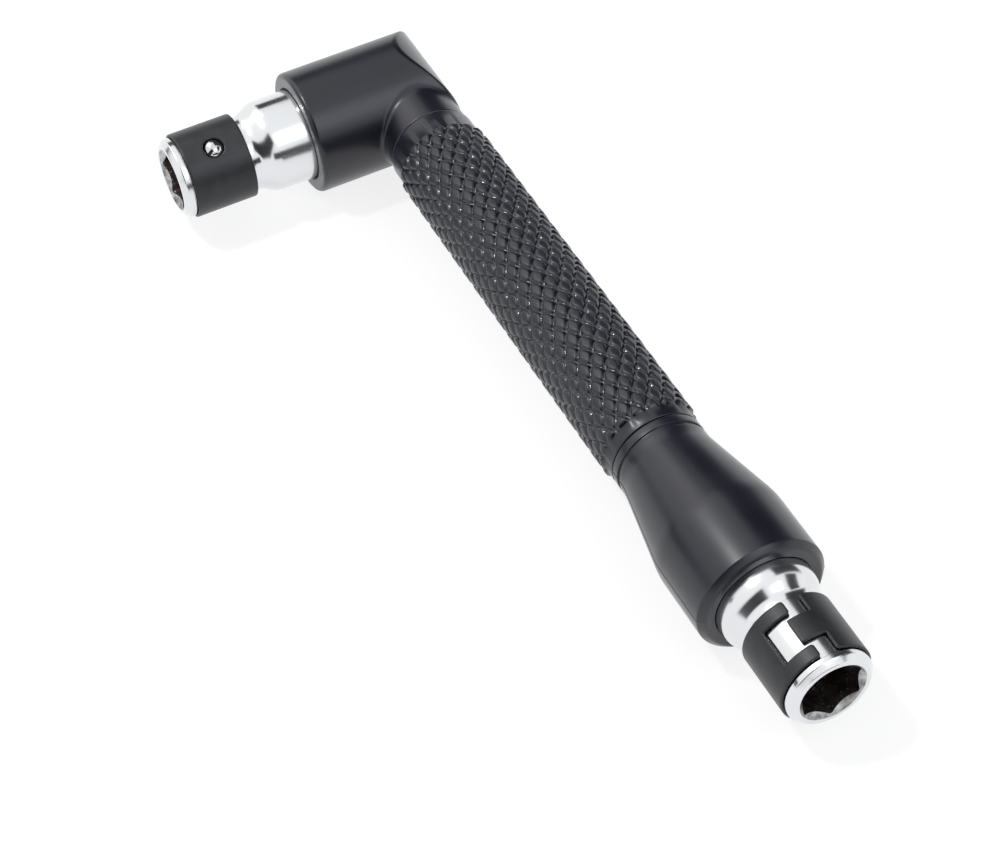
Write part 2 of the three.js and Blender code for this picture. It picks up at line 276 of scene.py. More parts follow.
def moulded_nylon(name, knurled):
    """Black glass-filled nylon, moulded: a satin skin with fine grain and a faint cloudy gloss, under a film
    of dust that pales it at glancing angles. On a knurled grip the pads are rubbed matt by handling, and the
    grooves keep the gloss of the mould."""
    material, tree, shader, place = new_material(name)
    cloud = add(tree, "ShaderNodeTexNoise", {"Vector": place, "Scale": per_metre(6.0), "Detail": 4.0})
    grain = add(tree, "ShaderNodeTexNoise", {"Vector": place, "Scale": per_metre(0.22), "Detail": 3.0})
    tint = add(tree, "ShaderNodeValToRGB", {"Fac": cloud.outputs["Fac"]})
    tint.color_ramp.elements[0].position = 0.3
    tint.color_ramp.elements[0].color = linear("0d0f1c")
    tint.color_ramp.elements[1].position = 0.75
    tint.color_ramp.elements[1].color = linear("151826")
    gloss = add(tree, "ShaderNodeMapRange", {
        "Value": cloud.outputs["Fac"],
        "To Min": 0.24,
        "To Max": 0.36,
    })
    if knurled:
        offset = add(tree, "ShaderNodeVectorMath", {0: place, 1: CROSSING}, operation="SUBTRACT")
        across = add(tree, "ShaderNodeVectorMath", {
            0: offset.outputs["Vector"],
            1: (0, 1, 1),
        }, operation="MULTIPLY")
        radius = add(tree, "ShaderNodeVectorMath", {0: across.outputs["Vector"]}, operation="LENGTH")
        floor = PAD_RADIUS - GROOVE_DEPTH
        skin = add(tree, "ShaderNodeMapRange", {
            "Value": radius.outputs["Value"],
            "From Min": (PAD_RADIUS - GROOVE_DEPTH / 2) * MM,
            "From Max": (PAD_RADIUS - PAD_CROWN) * MM,
            "To Min": 0.14,
            "To Max": 0.45,
        })
        band = add(tree, "ShaderNodeMapRange", {
            "Value": radius.outputs["Value"],
            "From Min": (BAND_RADIUS + floor) / 2 * MM,
            "From Max": floor * MM,
            "To Min": 0.16,
            "To Max": 0,
        })
        gloss = add(tree, "ShaderNodeMath", {
            0: skin.outputs["Result"],
            1: band.outputs["Result"],
        }, operation="ADD")
    bump = add(tree, "ShaderNodeBump", {
        "Height": grain.outputs["Fac"],
        "Strength": 0.12,
        "Distance": 0.02 * MM,
    })
    tree.links.new(tint.outputs["Color"], shader.inputs["Base Color"])
    tree.links.new(gloss.outputs[0], shader.inputs["Roughness"])
    tree.links.new(bump.outputs["Normal"], shader.inputs["Normal"])
    shader.inputs["IOR"].default_value = 1.56
    shader.inputs["Sheen Weight"].default_value = 0.6
    shader.inputs["Sheen Roughness"].default_value = 0.3
    shader.inputs["Sheen Tint"].default_value = linear("e6eaf2")
    return material


def chrome_plate():
    """Bright chrome on turned steel: a mirror with faint polishing haze that varies round the part."""
    material, tree, shader, place = new_material("chrome_plate_on_turned_steel")
    haze = add(tree, "ShaderNodeTexNoise", {"Vector": place, "Scale": per_metre(4.0), "Detail": 2.0})
    gloss = add(tree, "ShaderNodeMapRange", {
        "Value": haze.outputs["Fac"],
        "From Min": 0.35,
        "From Max": 0.75,
        "To Min": 0.15,
        "To Max": 0.22,
    })
    tree.links.new(gloss.outputs["Result"], shader.inputs["Roughness"])
    shader.inputs["Base Color"].default_value = linear("dbdddf")
    shader.inputs["Metallic"].default_value = 1.0
    return material


def oiled_bore():
    """Broached steel inside the hex: unplated, dark with oil, with bright flecks of swarf stuck in it."""
    material, tree, shader, place = new_material("broached_steel_with_oil")
    stain = add(tree, "ShaderNodeTexNoise", {"Vector": place, "Scale": per_metre(1.6), "Detail": 6.0})
    tint = add(tree, "ShaderNodeValToRGB", {"Fac": stain.outputs["Fac"]})
    tint.color_ramp.elements[0].position = 0.35
    tint.color_ramp.elements[0].color = linear("4e4341")
    tint.color_ramp.elements[1].position = 0.7
    tint.color_ramp.elements[1].color = linear("8d8682")
    swarf = add(tree, "ShaderNodeTexNoise", {"Vector": place, "Scale": per_metre(0.3), "Detail": 1.0})
    specks = add(tree, "ShaderNodeMapRange", {
        "Value": swarf.outputs["Fac"],
        "From Min": 0.66,
        "From Max": 0.74,
    })
    flecked = add(tree, "ShaderNodeMix", {
        "Factor": specks.outputs["Result"],
        "A": tint.outputs["Color"],
        "B": linear("f0ece6"),
    }, data_type="RGBA")
    bump = add(tree, "ShaderNodeBump", {
        "Height": stain.outputs["Fac"],
        "Strength": 0.25,
        "Distance": 0.05 * MM,
    })
    tree.links.new(flecked.outputs["Result"], shader.inputs["Base Color"])
    tree.links.new(bump.outputs["Normal"], shader.inputs["Normal"])
    shader.inputs["Metallic"].default_value = 1.0
    shader.inputs["Roughness"].default_value = 0.42
    return material


def countersink_painted_shade():
    """Steel at the mouth's countersink, with streaks left by the cutter, in a grey that is painted shade:
    darker than the chrome land, for the shade on its facets.
    """
    material, tree, shader, place = new_material("countersunk_steel_painted_shade")
    streak = add(tree, "ShaderNodeTexNoise", {"Vector": place, "Scale": per_metre(0.9), "Detail": 5.0})
    tint = add(tree, "ShaderNodeValToRGB", {"Fac": streak.outputs["Fac"]})
    # The countersink's grey is painted shade, darker than the chrome land for the shade that falls on its
    # facets.
    tint.color_ramp.elements[0].position = 0.38
    tint.color_ramp.elements[0].color = linear("77787a")
    tint.color_ramp.elements[1].position = 0.66
    tint.color_ramp.elements[1].color = linear("c4c4c3")
    bump = add(tree, "ShaderNodeBump", {
        "Height": streak.outputs["Fac"],
        "Strength": 0.3,
        "Distance": 0.05 * MM,
    })
    tree.links.new(tint.outputs["Color"], shader.inputs["Base Color"])
    tree.links.new(bump.outputs["Normal"], shader.inputs["Normal"])
    shader.inputs["Metallic"].default_value = 1.0
    shader.inputs["Roughness"].default_value = 0.3
    return material


def blackened_spring_steel():
    """Spring strip, rolled, formed and blackened: satin charcoal with fine grain and paler rubs."""
    material, tree, shader, place = new_material("blackened_spring_steel")
    rub = add(tree, "ShaderNodeTexNoise", {"Vector": place, "Scale": per_metre(1.8), "Detail": 6.0})
    grain = add(tree, "ShaderNodeTexNoise", {"Vector": place, "Scale": per_metre(0.16), "Detail": 2.0})
    tint = add(tree, "ShaderNodeValToRGB", {"Fac": rub.outputs["Fac"]})
    tint.color_ramp.elements[0].position = 0.35
    tint.color_ramp.elements[0].color = linear("303133")
    tint.color_ramp.elements[1].position = 0.75
    tint.color_ramp.elements[1].color = linear("3a3b3e")
    gloss = add(tree, "ShaderNodeMapRange", {"Value": rub.outputs["Fac"], "To Min": 0.36, "To Max": 0.44})
    bump = add(tree, "ShaderNodeBump", {
        "Height": grain.outputs["Fac"],
        "Strength": 0.15,
        "Distance": 0.015 * MM,
    })
    tree.links.new(tint.outputs["Color"], shader.inputs["Base Color"])
    tree.links.new(gloss.outputs["Result"], shader.inputs["Roughness"])
    tree.links.new(bump.outputs["Normal"], shader.inputs["Normal"])
    shader.inputs["Metallic"].default_value = 0.35
    return material


def polished_ball_steel():
    """Bearing steel, ground and lapped: a clean mirror with a trace of haze."""
    material, tree, shader, place = new_material("lapped_bearing_steel")
    haze = add(tree, "ShaderNodeTexNoise", {"Vector": place, "Scale": per_metre(0.8), "Detail": 4.0})
    gloss = add(tree, "ShaderNodeMapRange", {"Value": haze.outputs["Fac"], "To Min": 0.06, "To Max": 0.16})
    tree.links.new(gloss.outputs["Result"], shader.inputs["Roughness"])
    shader.inputs["Base Color"].default_value = linear("c9cbcd")
    shader.inputs["Metallic"].default_value = 1.0
    return material


def make_piece(name, points, faces, material, sharp_degrees):
    """A mesh object from points in the tool frame, shaded smooth up to a crease angle."""
    mesh = bpy.data.meshes.new(name)
    mesh.from_pydata((np.asarray(points) * MM + np.array(CROSSING)).tolist(), [], faces)
    mesh.materials.append(material)
    mesh.shade_smooth()
    mesh.set_sharp_from_angle(angle=math.radians(sharp_degrees))
    piece = bpy.data.objects.new(name, mesh)
    scene.collection.objects.link(piece)
    return piece


def drill(piece, cutter, sharp_degrees):
    """Takes a cutter out of a piece and drops the cutter."""
    cut = piece.modifiers.new("bore", "BOOLEAN")
    cut.object = cutter
    cut.operation = "DIFFERENCE"
    cut.solver = "EXACT"
    cut_piece = piece.evaluated_get(bpy.context.evaluated_depsgraph_get())
    piece.data = bpy.data.meshes.new_from_object(cut_piece)
    piece.modifiers.clear()
    piece.data.shade_smooth()
    piece.data.set_sharp_from_angle(angle=math.radians(sharp_degrees))
    bpy.data.objects.remove(cutter)


def settle(piece, node, body="tool_body"):
    """Puts a rigid piece in a node's place."""
    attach(piece, body)
    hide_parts(node)


def eased(corners, columns, steps=4):
    """Rings of [distance, radius] from corners (distance, radius, ease), each rounded by its ease."""
    shaped = []
    for distance, radius, ease in corners:
        pair = np.stack([np.broadcast_to(distance, columns), np.broadcast_to(radius, columns)], axis=1)
        shaped.append((pair.astype(float), ease))
    rings = []
    for number, (corner, ease) in enumerate(shaped):
        if ease == 0:
            rings.append(corner)
            continue
        before = shaped[number - 1][0] - corner
        after = shaped[number + 1][0] - corner
        before = corner + before * (ease / np.linalg.norm(before, axis=1))[:, None]
        after = corner + after * (ease / np.linalg.norm(after, axis=1))[:, None]
        for step in range(steps + 1):
            t = step / steps
            rings.append(before * (1 - t) ** 2 + corner * (2 * t * (1 - t)) + after * t ** 2)
    return np.array(rings)


def ring_points(rings, angles):
    """Points of rings about X. Angles run from +Z towards +Y, and each ring has its own distance and radius
    at each angle."""
    return np.stack([
        rings[:, :, 0],
        rings[:, :, 1] * np.sin(angles),
        rings[:, :, 1] * np.cos(angles),
    ], axis=2).reshape(-1, 3)


def ring_faces(rows, count, closed):
    """Quads between neighbouring rings; in a closed set the last ring meets the first."""
    faces = []
    for row in range(rows if closed else rows - 1):
        a = row * count
        b = (row + 1) % rows * count
        for column in range(count):
            beside = (column + 1) % count
            faces.append((a + column, b + column, b + beside, a + beside))
    return faces


def turned(rings, angles):
    """Points and faces of a closed shape turned about X, from a pole on the axis to another one."""
    count = len(angles)
    body = rings[1:-1]
    points = ring_points(body, angles)
    first = len(points)
    last = first + 1
    poles = [[rings[0, 0, 0], 0.0, 0.0], [rings[-1, 0, 0], 0.0, 0.0]]
    faces = ring_faces(len(body), count, closed=False)
    top = (len(body) - 1) * count
    for column in range(count):
        beside = (column + 1) % count
        faces.append((first, column, beside))
        faces.append((last, top + beside, top + column))
    return np.vstack([points, poles]), faces


def hex_radius(angles, flats, relief=0.0):
    """The radius of a hex with a corner at angle 0, its corners cut back by a relief."""
    sector = math.pi / 3
    edge = flats / 2 / np.cos(np.mod(angles, sector) - sector / 2)
    return np.minimum(edge, flats / math.sqrt(3) - relief)


def even_angles(count):
    """Angles that share a full turn evenly."""
    return np.arange(count) * (2 * math.pi / count)


def smooth_least(a, b, ease):
    """The lesser of two fields, with their meeting rounded over a width."""
    share = np.clip(0.5 + 0.5 * (b - a) / ease, 0, 1)
    return b * (1 - share) + a * share - ease * share * (1 - share)


def smooth_most(a, b, ease):
    """The greater of two fields, with their meeting rounded over a width."""
    return -smooth_least(-a, -b, ease)


def surface_net(field, starts, steps):
    """Points and quads of a field's zero level on a grid whose ends meet, so the field is above zero at
    the ends of each axis that doesn't wrap round. Each point is the mean of its cell's edge crossings."""
    corners = [np.array((i, j, k)) for i in (0, 1) for j in (0, 1) for k in (0, 1)]
    values = {tuple(c): np.roll(field, tuple(-c), (0, 1, 2)) for c in corners}
    total = np.zeros(field.shape + (3,))
    hits = np.zeros(field.shape)
    for corner in corners:
        for axis in range(3):
            if corner[axis]:
                continue
            other = corner.copy()
            other[axis] = 1
            a = values[tuple(corner)]
            b = values[tuple(other)]
            crossed = (a < 0) != (b < 0)
            share = np.where(crossed, a / np.where(crossed, a - b, 1), 0)
            total += np.where(crossed, 1, 0)[..., None] * corner
            total[..., axis] += share
            hits += crossed
    used = hits > 0
    index = np.full(field.shape, -1)
    index[used] = np.arange(used.sum())
    cells = np.argwhere(used)
    points = (cells + total[used] / hits[used][:, None]) * np.array(steps) + np.array(starts)
    faces = []
    for axis in range(3):
        one, two = [(axis + 1) % 3, (axis + 2) % 3]
        ahead = np.roll(field, -1, axis)
        crossed = (field < 0) != (ahead < 0)
        behind = np.roll(index, 1, one)
        ring = [index, behind, np.roll(behind, 1, two), np.roll(index, 1, two)]
        quads = np.stack([cell[crossed] for cell in ring], axis=1)
        inside_out = field[crossed] < 0
        quads[inside_out] = quads[inside_out][:, ::-1]
        faces.append(quads[:, ::-1])
    return points, np.vstack(faces)


def grid_of(starts, steps, counts):
    """Points of an even grid, with three counts along X, Y and Z."""
    axes = [start + step * np.arange(count) for start, step, count in zip(starts, steps, counts)]
    return np.stack(np.meshgrid(*axes, indexing="ij"), axis=3)


def drawn_to_zero(points, field, rounds=4, probe=0.01, least=0.2):
    """Points moved along a field's slope until they lie on its zero level. Where the field is nearly flat,
    the least slope keeps their steps short."""
    for _ in range(rounds):
        level = field(points)
        slope = np.stack([
            (field(points + probe * way) - field(points - probe * way)) / (2 * probe) for way in np.eye(3)
        ], axis=1)
        points = points - slope * (level / np.maximum((slope ** 2).sum(axis=1), least))[:, None]
    return points


def hex_field(across, up, flats, turn):
    """Distance field of a hex bar's section, with a corner at this turn from up towards across."""
    reach = -np.inf
    for side in range(6):
        angle = turn + math.pi / 6 + side * math.pi / 3
        reach = np.maximum(reach, across * math.sin(angle) + up * math.cos(angle))
    return reach - flats / 2


def elbow_field(points):
    """The head, its rounded back, the neck with its soft root, and the pocket for the head's socket."""
    x, y, z = points[..., 0], points[..., 1], points[..., 2]
    back_centre = NECK_RADIUS - BACK_RADIUS
    back = np.hypot(np.maximum(y - back_centre, 0), z) - BACK_RADIUS
    barrel = np.hypot(x, z) - HEAD_RADIUS
    head = smooth_most(barrel, -HEAD_FACE - y, HEAD_EDGE * 2)
    neck = np.maximum(np.hypot(y, z) - NECK_RADIUS, -x)
    body = smooth_least(head, neck, NECK_BLEND)
    body = smooth_most(body, back, CREASE_EASE)
    body = smooth_most(body, x - NECK_END, CREASE_EASE)
    floor = -HEAD_FACE + COLLAR_SINK + FIT
    recess = np.maximum(np.hypot(x, z) - COLLAR_RADIUS - FIT, y - floor)
    shank_end = -HEAD_FACE + COLLAR_SINK + 2 * SHANK_LAND + SHANK_GROOVE + FIT
    shank_hole = np.maximum(hex_field(x, z, SHANK_FLATS + 2 * FIT, -HEAD_TURN), y - shank_end)
    return smooth_most(body, -np.minimum(recess, shank_hole), POCKET_EASE)


def elbow():
    """The head and neck as one smooth moulding, with the hex core that the grip and flared end sit on."""
    margin = 4 * ELBOW_STEP
    low = np.array((-HEAD_RADIUS, -HEAD_FACE, -HEAD_RADIUS)) - margin
    high = np.array((NECK_END, NECK_RADIUS, HEAD_RADIUS)) + margin
    steps = (ELBOW_STEP, ELBOW_STEP, ELBOW_STEP)
    counts = np.ceil((high - low) / ELBOW_STEP).astype(int) + 1
    points, quads = surface_net(elbow_field(grid_of(low, steps, counts)), low, steps)
    points = drawn_to_zero(points, elbow_field)
    angles = even_angles(CORE_COLUMNS)
    core = hex_radius(angles, CORE_FLATS, CORE_RELIEF)
    rings = eased([
        (CORE_START, 0.0, 0),
        (CORE_START, core, 0),
        (CORE_END, core, CORE_EDGE),
        (CORE_END, 0.0, 0),
    ], len(angles))
    core_points, core_faces = turned(rings, angles)
    shift = len(points)
    faces = quads.tolist() + [[shift + corner for corner in face] for face in core_faces]
    return np.vstack([points, core_points]), faces


def knurl_height(x, angles):
    """The grip's radius: flat pads, slightly crowned, between two sets of crossing helical grooves that
    run out in a ramp at both ends of the knurl."""
    row = (x - KNURL_START) / KNURL_PITCH - KNURL_SHIFT
    column = angles * KNURL_AROUND / (2 * math.pi) + KNURL_TURN
    width = 2 * math.pi * PAD_RADIUS / KNURL_AROUND
    spacing = 1 / math.hypot(1 / width, 1 / KNURL_PITCH)
    one = np.abs(column + row - np.round(column + row))
    two = np.abs(column - row - np.round(column - row))
    away = (0.5 - smooth_most(one, two, PAD_CORNER)) * spacing
    slope = 1 - np.clip(away / GROOVE_HALF_WIDTH, 0, 1)
    height = PAD_RADIUS - PAD_CROWN * 2 * (one ** 2 + two ** 2) - GROOVE_DEPTH * slope ** 2
    inside = np.minimum(x - KNURL_START, KNURL_START + KNURL_LENGTH - x)
    ramp = np.clip(inside / KNURL_RAMP, 0, 1)
    return BAND_RADIUS + (height - BAND_RADIUS) * ramp


def grip():
    """The knurled sleeve with its smooth bands and its hex bore."""
    angles = even_angles(KNURL_AROUND * PAD_STEPS)
    columns = len(angles)
    bore = hex_radius(angles, CORE_FLATS + 2 * FIT)
    knurl_end = KNURL_START + KNURL_LENGTH
    front = eased([
        (GRIP_LOW.x, bore, 0),
        (GRIP_LOW.x, BAND_RADIUS, BAND_EDGE),
        (KNURL_START, BAND_RADIUS, 0),
    ], columns)
    places = np.linspace(KNURL_START, knurl_end, int(KNURL_LENGTH / KNURL_PITCH * PAD_STEPS))[1:-1]
    knurl = np.stack([
        np.broadcast_to(places[:, None], (len(places), columns)),
        knurl_height(places[:, None], angles[None, :]),
    ], axis=2)
    rear = eased([
        (knurl_end, BAND_RADIUS, 0),
        (GRIP_HIGH.x, BAND_RADIUS, BAND_EDGE),
        (GRIP_HIGH.x, bore, 0),
    ], columns)
    rings = np.concatenate([front, knurl, rear])
    return ring_points(rings, angles), ring_faces(len(rings), columns, closed=True)


def flare():
    """The flared end: band with a ring groove, cone, barrel with a parting line, and the socket's pocket."""
    angles = even_angles(ROUND_COLUMNS)
    fine = np.linspace(-2, 2, PARTING_COLUMNS) * PARTING_WIDTH / FLARE_RADIUS
    angles = np.unique(np.concatenate([angles, math.pi / 2 + fine, 3 * math.pi / 2 + fine]).round(6))
    columns = len(angles)
    beside = np.minimum(np.abs(angles - math.pi / 2), np.abs(angles - 3 * math.pi / 2)) * FLARE_RADIUS
    line = PARTING_HEIGHT * np.exp(-(beside / PARTING_WIDTH) ** 2 * 4)
    groove = GRIP_END + (FLARE_BAND - RING_GROOVE_WIDTH) / 2
    cone = GRIP_END + FLARE_BAND
    barrel = cone + CONE_LENGTH
    core = hex_radius(angles, CORE_FLATS + 2 * FIT)
    shank = hex_radius(angles, SHANK_FLATS + 2 * FIT)
    pocket = FLARE_FACE - COLLAR_SINK - FIT
    shank_end = pocket - 2 * SHANK_LAND - SHANK_GROOVE
    recess = COLLAR_RADIUS + RECESS_CLEARANCE
    skin = FLARE_RADIUS - PARTING_HEIGHT + line
    rings = eased([
        (CORE_END + FIT, 0.0, 0),
        (CORE_END + FIT, core, 0),
        (GRIP_END, core, 0),
        (GRIP_END, BAND_RADIUS + line, FLARE_BAND_EDGE),
        (groove, BAND_RADIUS + line, RING_GROOVE_EDGE),
        (groove, BAND_RADIUS - RING_GROOVE_DEPTH, RING_GROOVE_ROOT),
        (groove + RING_GROOVE_WIDTH, BAND_RADIUS - RING_GROOVE_DEPTH, RING_GROOVE_ROOT),
        (groove + RING_GROOVE_WIDTH, BAND_RADIUS + line, RING_GROOVE_EDGE),
        (cone, BAND_RADIUS + line, CONE_EASE),
        (barrel, skin, BARREL_EASE),
        (FLARE_FACE - FLARE_EDGE, skin, FLARE_EDGE_EASE),
        (FLARE_FACE, FLARE_RADIUS - FLARE_EDGE, FLARE_FACE_EASE),
        (FLARE_FACE - FLARE_DISH, recess, RECESS_EDGE),
        (pocket, recess, 0),
        (pocket, shank, 0),
        (shank_end, shank, 0),
        (shank_end, 0.0, 0),
    ], columns)
    return turned(rings, angles)


def socket(collar):
    """A socket's points and faces along its own axis, mouth at zero: hex shank, collar, shoulder, waist,
    seat, lip, bevelled nose, countersink and hex bore."""
    angles = even_angles(ROUND_COLUMNS)
    rear = -SHOULDER_BACK - collar - COLLAR_SINK
    shank = hex_radius(angles, SHANK_FLATS, SHANK_RELIEF)
    bore = hex_radius(angles, HEX_FLATS, HEX_RELIEF)
    bore_start = -COUNTERSINK_DEPTH * (MOUTH_RADIUS - bore) / (MOUTH_RADIUS - HEX_FLATS / 2)
    land_end = rear - SHANK_LAND
    groove_end = land_end - SHANK_GROOVE
    shank_end = groove_end - SHANK_LAND
    lip_start = -LIP_LENGTH + FIT
    rings = eased([
        (shank_end, 0.0, 0),
        (shank_end, shank, SHANK_EDGE),
        (groove_end, shank, 0),
        (groove_end, SHANK_GROOVE_RADIUS, 0),
        (land_end, SHANK_GROOVE_RADIUS, 0),
        (land_end, shank, 0),
        (rear, shank, 0),
        (rear, COLLAR_RADIUS, COLLAR_EDGE),
        (-SHOULDER_BACK, COLLAR_RADIUS, SHOULDER_EASE),
        (-WAIST_BACK, WAIST_RADIUS, WAIST_EASE),
        (-WAIST_FRONT, WAIST_RADIUS, 0),
        (-WAIST_FRONT, SEAT_RADIUS, SEAT_EDGE),
        (lip_start, SEAT_RADIUS, 0),
        (lip_start, LIP_RADIUS, LIP_EDGE),
        (-LIP_RADIUS + RIM_RADIUS, LIP_RADIUS, BEVEL_EDGE),
        (0.0, RIM_RADIUS, RIM_EDGE),
        (0.0, MOUTH_RADIUS, MOUTH_EDGE),
        (bore_start, bore, BORE_EDGE),
        (-BORE_DEPTH, bore, 0),
        (-BORE_DEPTH, 0.0, 0),
    ], len(angles), SOCKET_EDGE_STEPS)
    return turned(rings, angles)


def socket_finishes(points, faces):
    """Each face's place in the socket's list of finishes: 0 chrome, 1 the hex bore, 2 the countersink's
    painted shade.
    """
    along = points[:, 0]
    reach = np.hypot(points[:, 1], points[:, 2])
    wall = hex_radius(np.arctan2(points[:, 1], points[:, 2]), HEX_FLATS, HEX_RELIEF)
    in_bore = (along < -COUNTERSINK_DEPTH / 4) & (along > -BORE_DEPTH - FIT) & (reach < wall + HAIR)
    in_sink = (along > -COUNTERSINK_DEPTH) & (reach < MOUTH_RADIUS - COUNTERSINK_INSET)
    finishes = []
    for face in faces:
        corners = list(face)
        finish = 0
        if in_bore[corners].all():
            finish = 1
        elif in_sink[corners].all():
            finish = 2
        finishes.append(finish)
    return finishes


def clip_field(points):
    """The clip unrolled: distance along the axis from its middle, angle from the seam times the outer
    radius, and radius. Its two ends lock by two tabs and a tongue, and the ball's hole is opposite."""
    along, arc, radius = points[..., 0], points[..., 1], points[..., 2]
    angle = np.mod(arc / CLIP_OUTER + math.pi, 2 * math.pi) - math.pi
    across = CLIP_OUTER * np.sin(np.clip(angle, -math.pi / 2, math.pi / 2))
    half = CLIP_LENGTH / 2
    slot = half - TAB_LENGTH
    tongue_side = np.abs(along) - slot + TONGUE_GAP
    tongue = smooth_most(tongue_side, across - SEAM_HALF_WIDTH - TONGUE_REACH, TONGUE_CORNER)
    left = np.minimum(across + SEAM_HALF_WIDTH, tongue)
    tabs = smooth_most(slot - np.abs(along), SEAM_HALF_WIDTH - TAB_REACH - across, CLIP_CORNER)
    right = np.minimum(SEAM_HALF_WIDTH + WINDOW_DEPTH - across, tabs)
    sheet = smooth_most(np.minimum(left, right), np.abs(along) - half, CLIP_CORNER)
    opposite = np.mod(angle, 2 * math.pi) - math.pi
    beside = CLIP_OUTER * np.sin(np.clip(opposite, -math.pi / 2, math.pi / 2))
    sheet = np.maximum(sheet, BALL_HOLE_RADIUS - np.hypot(along, beside))
    wall = np.abs(radius - CLIP_OUTER + CLIP_WALL / 2) - CLIP_WALL / 2
    return smooth_most(sheet, wall, CLIP_EDGE)


def clip():
    """A spring clip along its socket's axis, its seam down and its ball hole up."""
    steps = np.array((CLIP_STEP_ALONG, 2 * math.pi * CLIP_OUTER / CLIP_COLUMNS, CLIP_STEP_THROUGH))
    starts = np.array((-CLIP_LENGTH / 2 - 3 * steps[0], 0.0, CLIP_OUTER - CLIP_WALL - 3 * steps[2]))
    counts = [int(CLIP_LENGTH / steps[0]) + 8, CLIP_COLUMNS, int(CLIP_WALL / steps[2]) + 8]
    points, quads = surface_net(clip_field(grid_of(starts, steps, counts)), starts, steps)
    points = drawn_to_zero(points, clip_field)
    angle = points[:, 1] / CLIP_OUTER + math.pi
    turned_points = np.stack([
        points[:, 0] + BALL_PLACE,
        -points[:, 2] * np.sin(angle),
        points[:, 2] * np.cos(angle),
    ], axis=1)
    return turned_points, quads.tolist()


def ball():
    """A detent ball over its socket's axis, its poles along the axis where the clip hides them."""
    angles = even_angles(BALL_COLUMNS)
    rises = np.linspace(-math.pi / 2, math.pi / 2, BALL_ROWS)[:, None]
    rings = BALL_RADIUS * np.stack([
        np.broadcast_to(np.sin(rises), (BALL_ROWS, BALL_COLUMNS)),
        np.broadcast_to(np.cos(rises), (BALL_ROWS, BALL_COLUMNS)),
    ], axis=2)
    points, faces = turned(rings, angles)
    return points + np.array((BALL_PLACE, 0.0, BALL_HEIGHT)), faces


def ball_bore():
    """The hole that the ball slides in, from the hex bore out past the seat."""
    angles = even_angles(BALL_COLUMNS)
    radius = BALL_RADIUS + FIT
    rings = eased([
        (0.0, 0.0, 0),
        (0.0, radius, 0),
        (COLLAR_RADIUS, radius, 0),
        (COLLAR_RADIUS, 0.0, 0),
    ], len(angles))
    points, faces = turned(rings, angles)
    return np.stack([points[:, 2] + BALL_PLACE, -points[:, 1], points[:, 0]], axis=1), faces


def moved(points, move):
    """Points taken through a 4 by 4 matrix."""
    return np.asarray(points) @ np.array(move.to_3x3()).T + np.array(move.translation)


def handle_place(points):
    """Points along a socket's own axis, ball up, to the handle's end."""
    mouth = Matrix.Translation((HANDLE_MOUTH, 0, 0))
    return moved(points, mouth @ Matrix.Rotation(HANDLE_TURN, 4, "X"))


def head_place(points):
    """Points along a socket's own axis, ball up, to the head's end."""
    mouth = Matrix.Translation((0, -HEAD_MOUTH, 0)) @ Matrix.Rotation(-math.pi / 2, 4, "Z")
    return moved(points, mouth @ Matrix.Rotation(HEAD_TURN, 4, "X"))


def camera():
    """The camera that the photograph was taken with, fitted to its outlines."""
    place = Vector(CAMERA_PLACE) * MM
    ahead = (Vector(CAMERA_TARGET) * MM - place).normalized()
    lens = bpy.data.cameras.new("photo_camera")
    lens.sensor_width = SENSOR_WIDTH
    lens.lens = CAMERA_LENS
    lens.clip_start = 0.01
    viewer = bpy.data.objects.new("photo_camera", lens)
    level = ahead.to_track_quat("-Z", "Y").to_matrix().to_4x4()
    roll = Matrix.Rotation(math.radians(CAMERA_ROLL), 4, "Z")
    viewer.matrix_world = Matrix.Translation(place) @ level @ roll
    scene.collection.objects.link(viewer)
    scene.camera = viewer


def lamp(name, place, width, power, colour):
    """A soft square lamp aimed at the wrench; its place is in metres."""
    light = bpy.data.lights.new(name, "AREA")
    light.size = width
    light.energy = power
    light.color = linear(colour)[:3]
    holder = bpy.data.objects.new(name, light)
    holder.location = place
    holder.rotation_euler = (-Vector(place)).to_track_quat("-Z", "Y").to_euler()
    scene.collection.objects.link(holder)


def flat_sheet(name, corners, material):
    """A stage sheet from four corners, in metres."""
    mesh = bpy.data.meshes.new(name)
    mesh.from_pydata(corners, [], [(0, 1, 2, 3)])
    mesh.materials.append(material)
    spread = mesh.uv_layers.new(name="spread")
    for corner, place in zip(spread.data, ((0, 0), (1, 0), (1, 1), (0, 1))):
        corner.uv = place
    sheet = bpy.data.objects.new(name, mesh)
    scene.collection.objects.link(sheet)
    return sheet


def white_surround():
    """A world that is white to the camera and in reflections, and a soft fill otherwise."""
    world = bpy.data.worlds.new("white_surround")
    scene.world = world
    world.use_nodes = True
    tree = world.node_tree
    tree.nodes.clear()
    path = add(tree, "ShaderNodeLightPath")
    seen = add(tree, "ShaderNodeMath", {
        0: path.outputs["Is Camera Ray"],
        1: path.outputs["Is Glossy Ray"],
    }, operation="MAXIMUM")
    seen = add(tree, "ShaderNodeMath", {
        0: seen.outputs[0],
        1: path.outputs["Is Transmission Ray"],
    }, operation="MAXIMUM")
    strength = add(tree, "ShaderNodeMapRange", {
        "Value": seen.outputs[0],
        "To Min": SURROUND_FILL,
        "To Max": SURROUND_SEEN,
    })
    sky = add(tree, "ShaderNodeBackground", {"Color": (1, 1, 1, 1), "Strength": strength.outputs["Result"]})
    add(tree, "ShaderNodeOutputWorld", {"Surface": sky.outputs["Background"]})


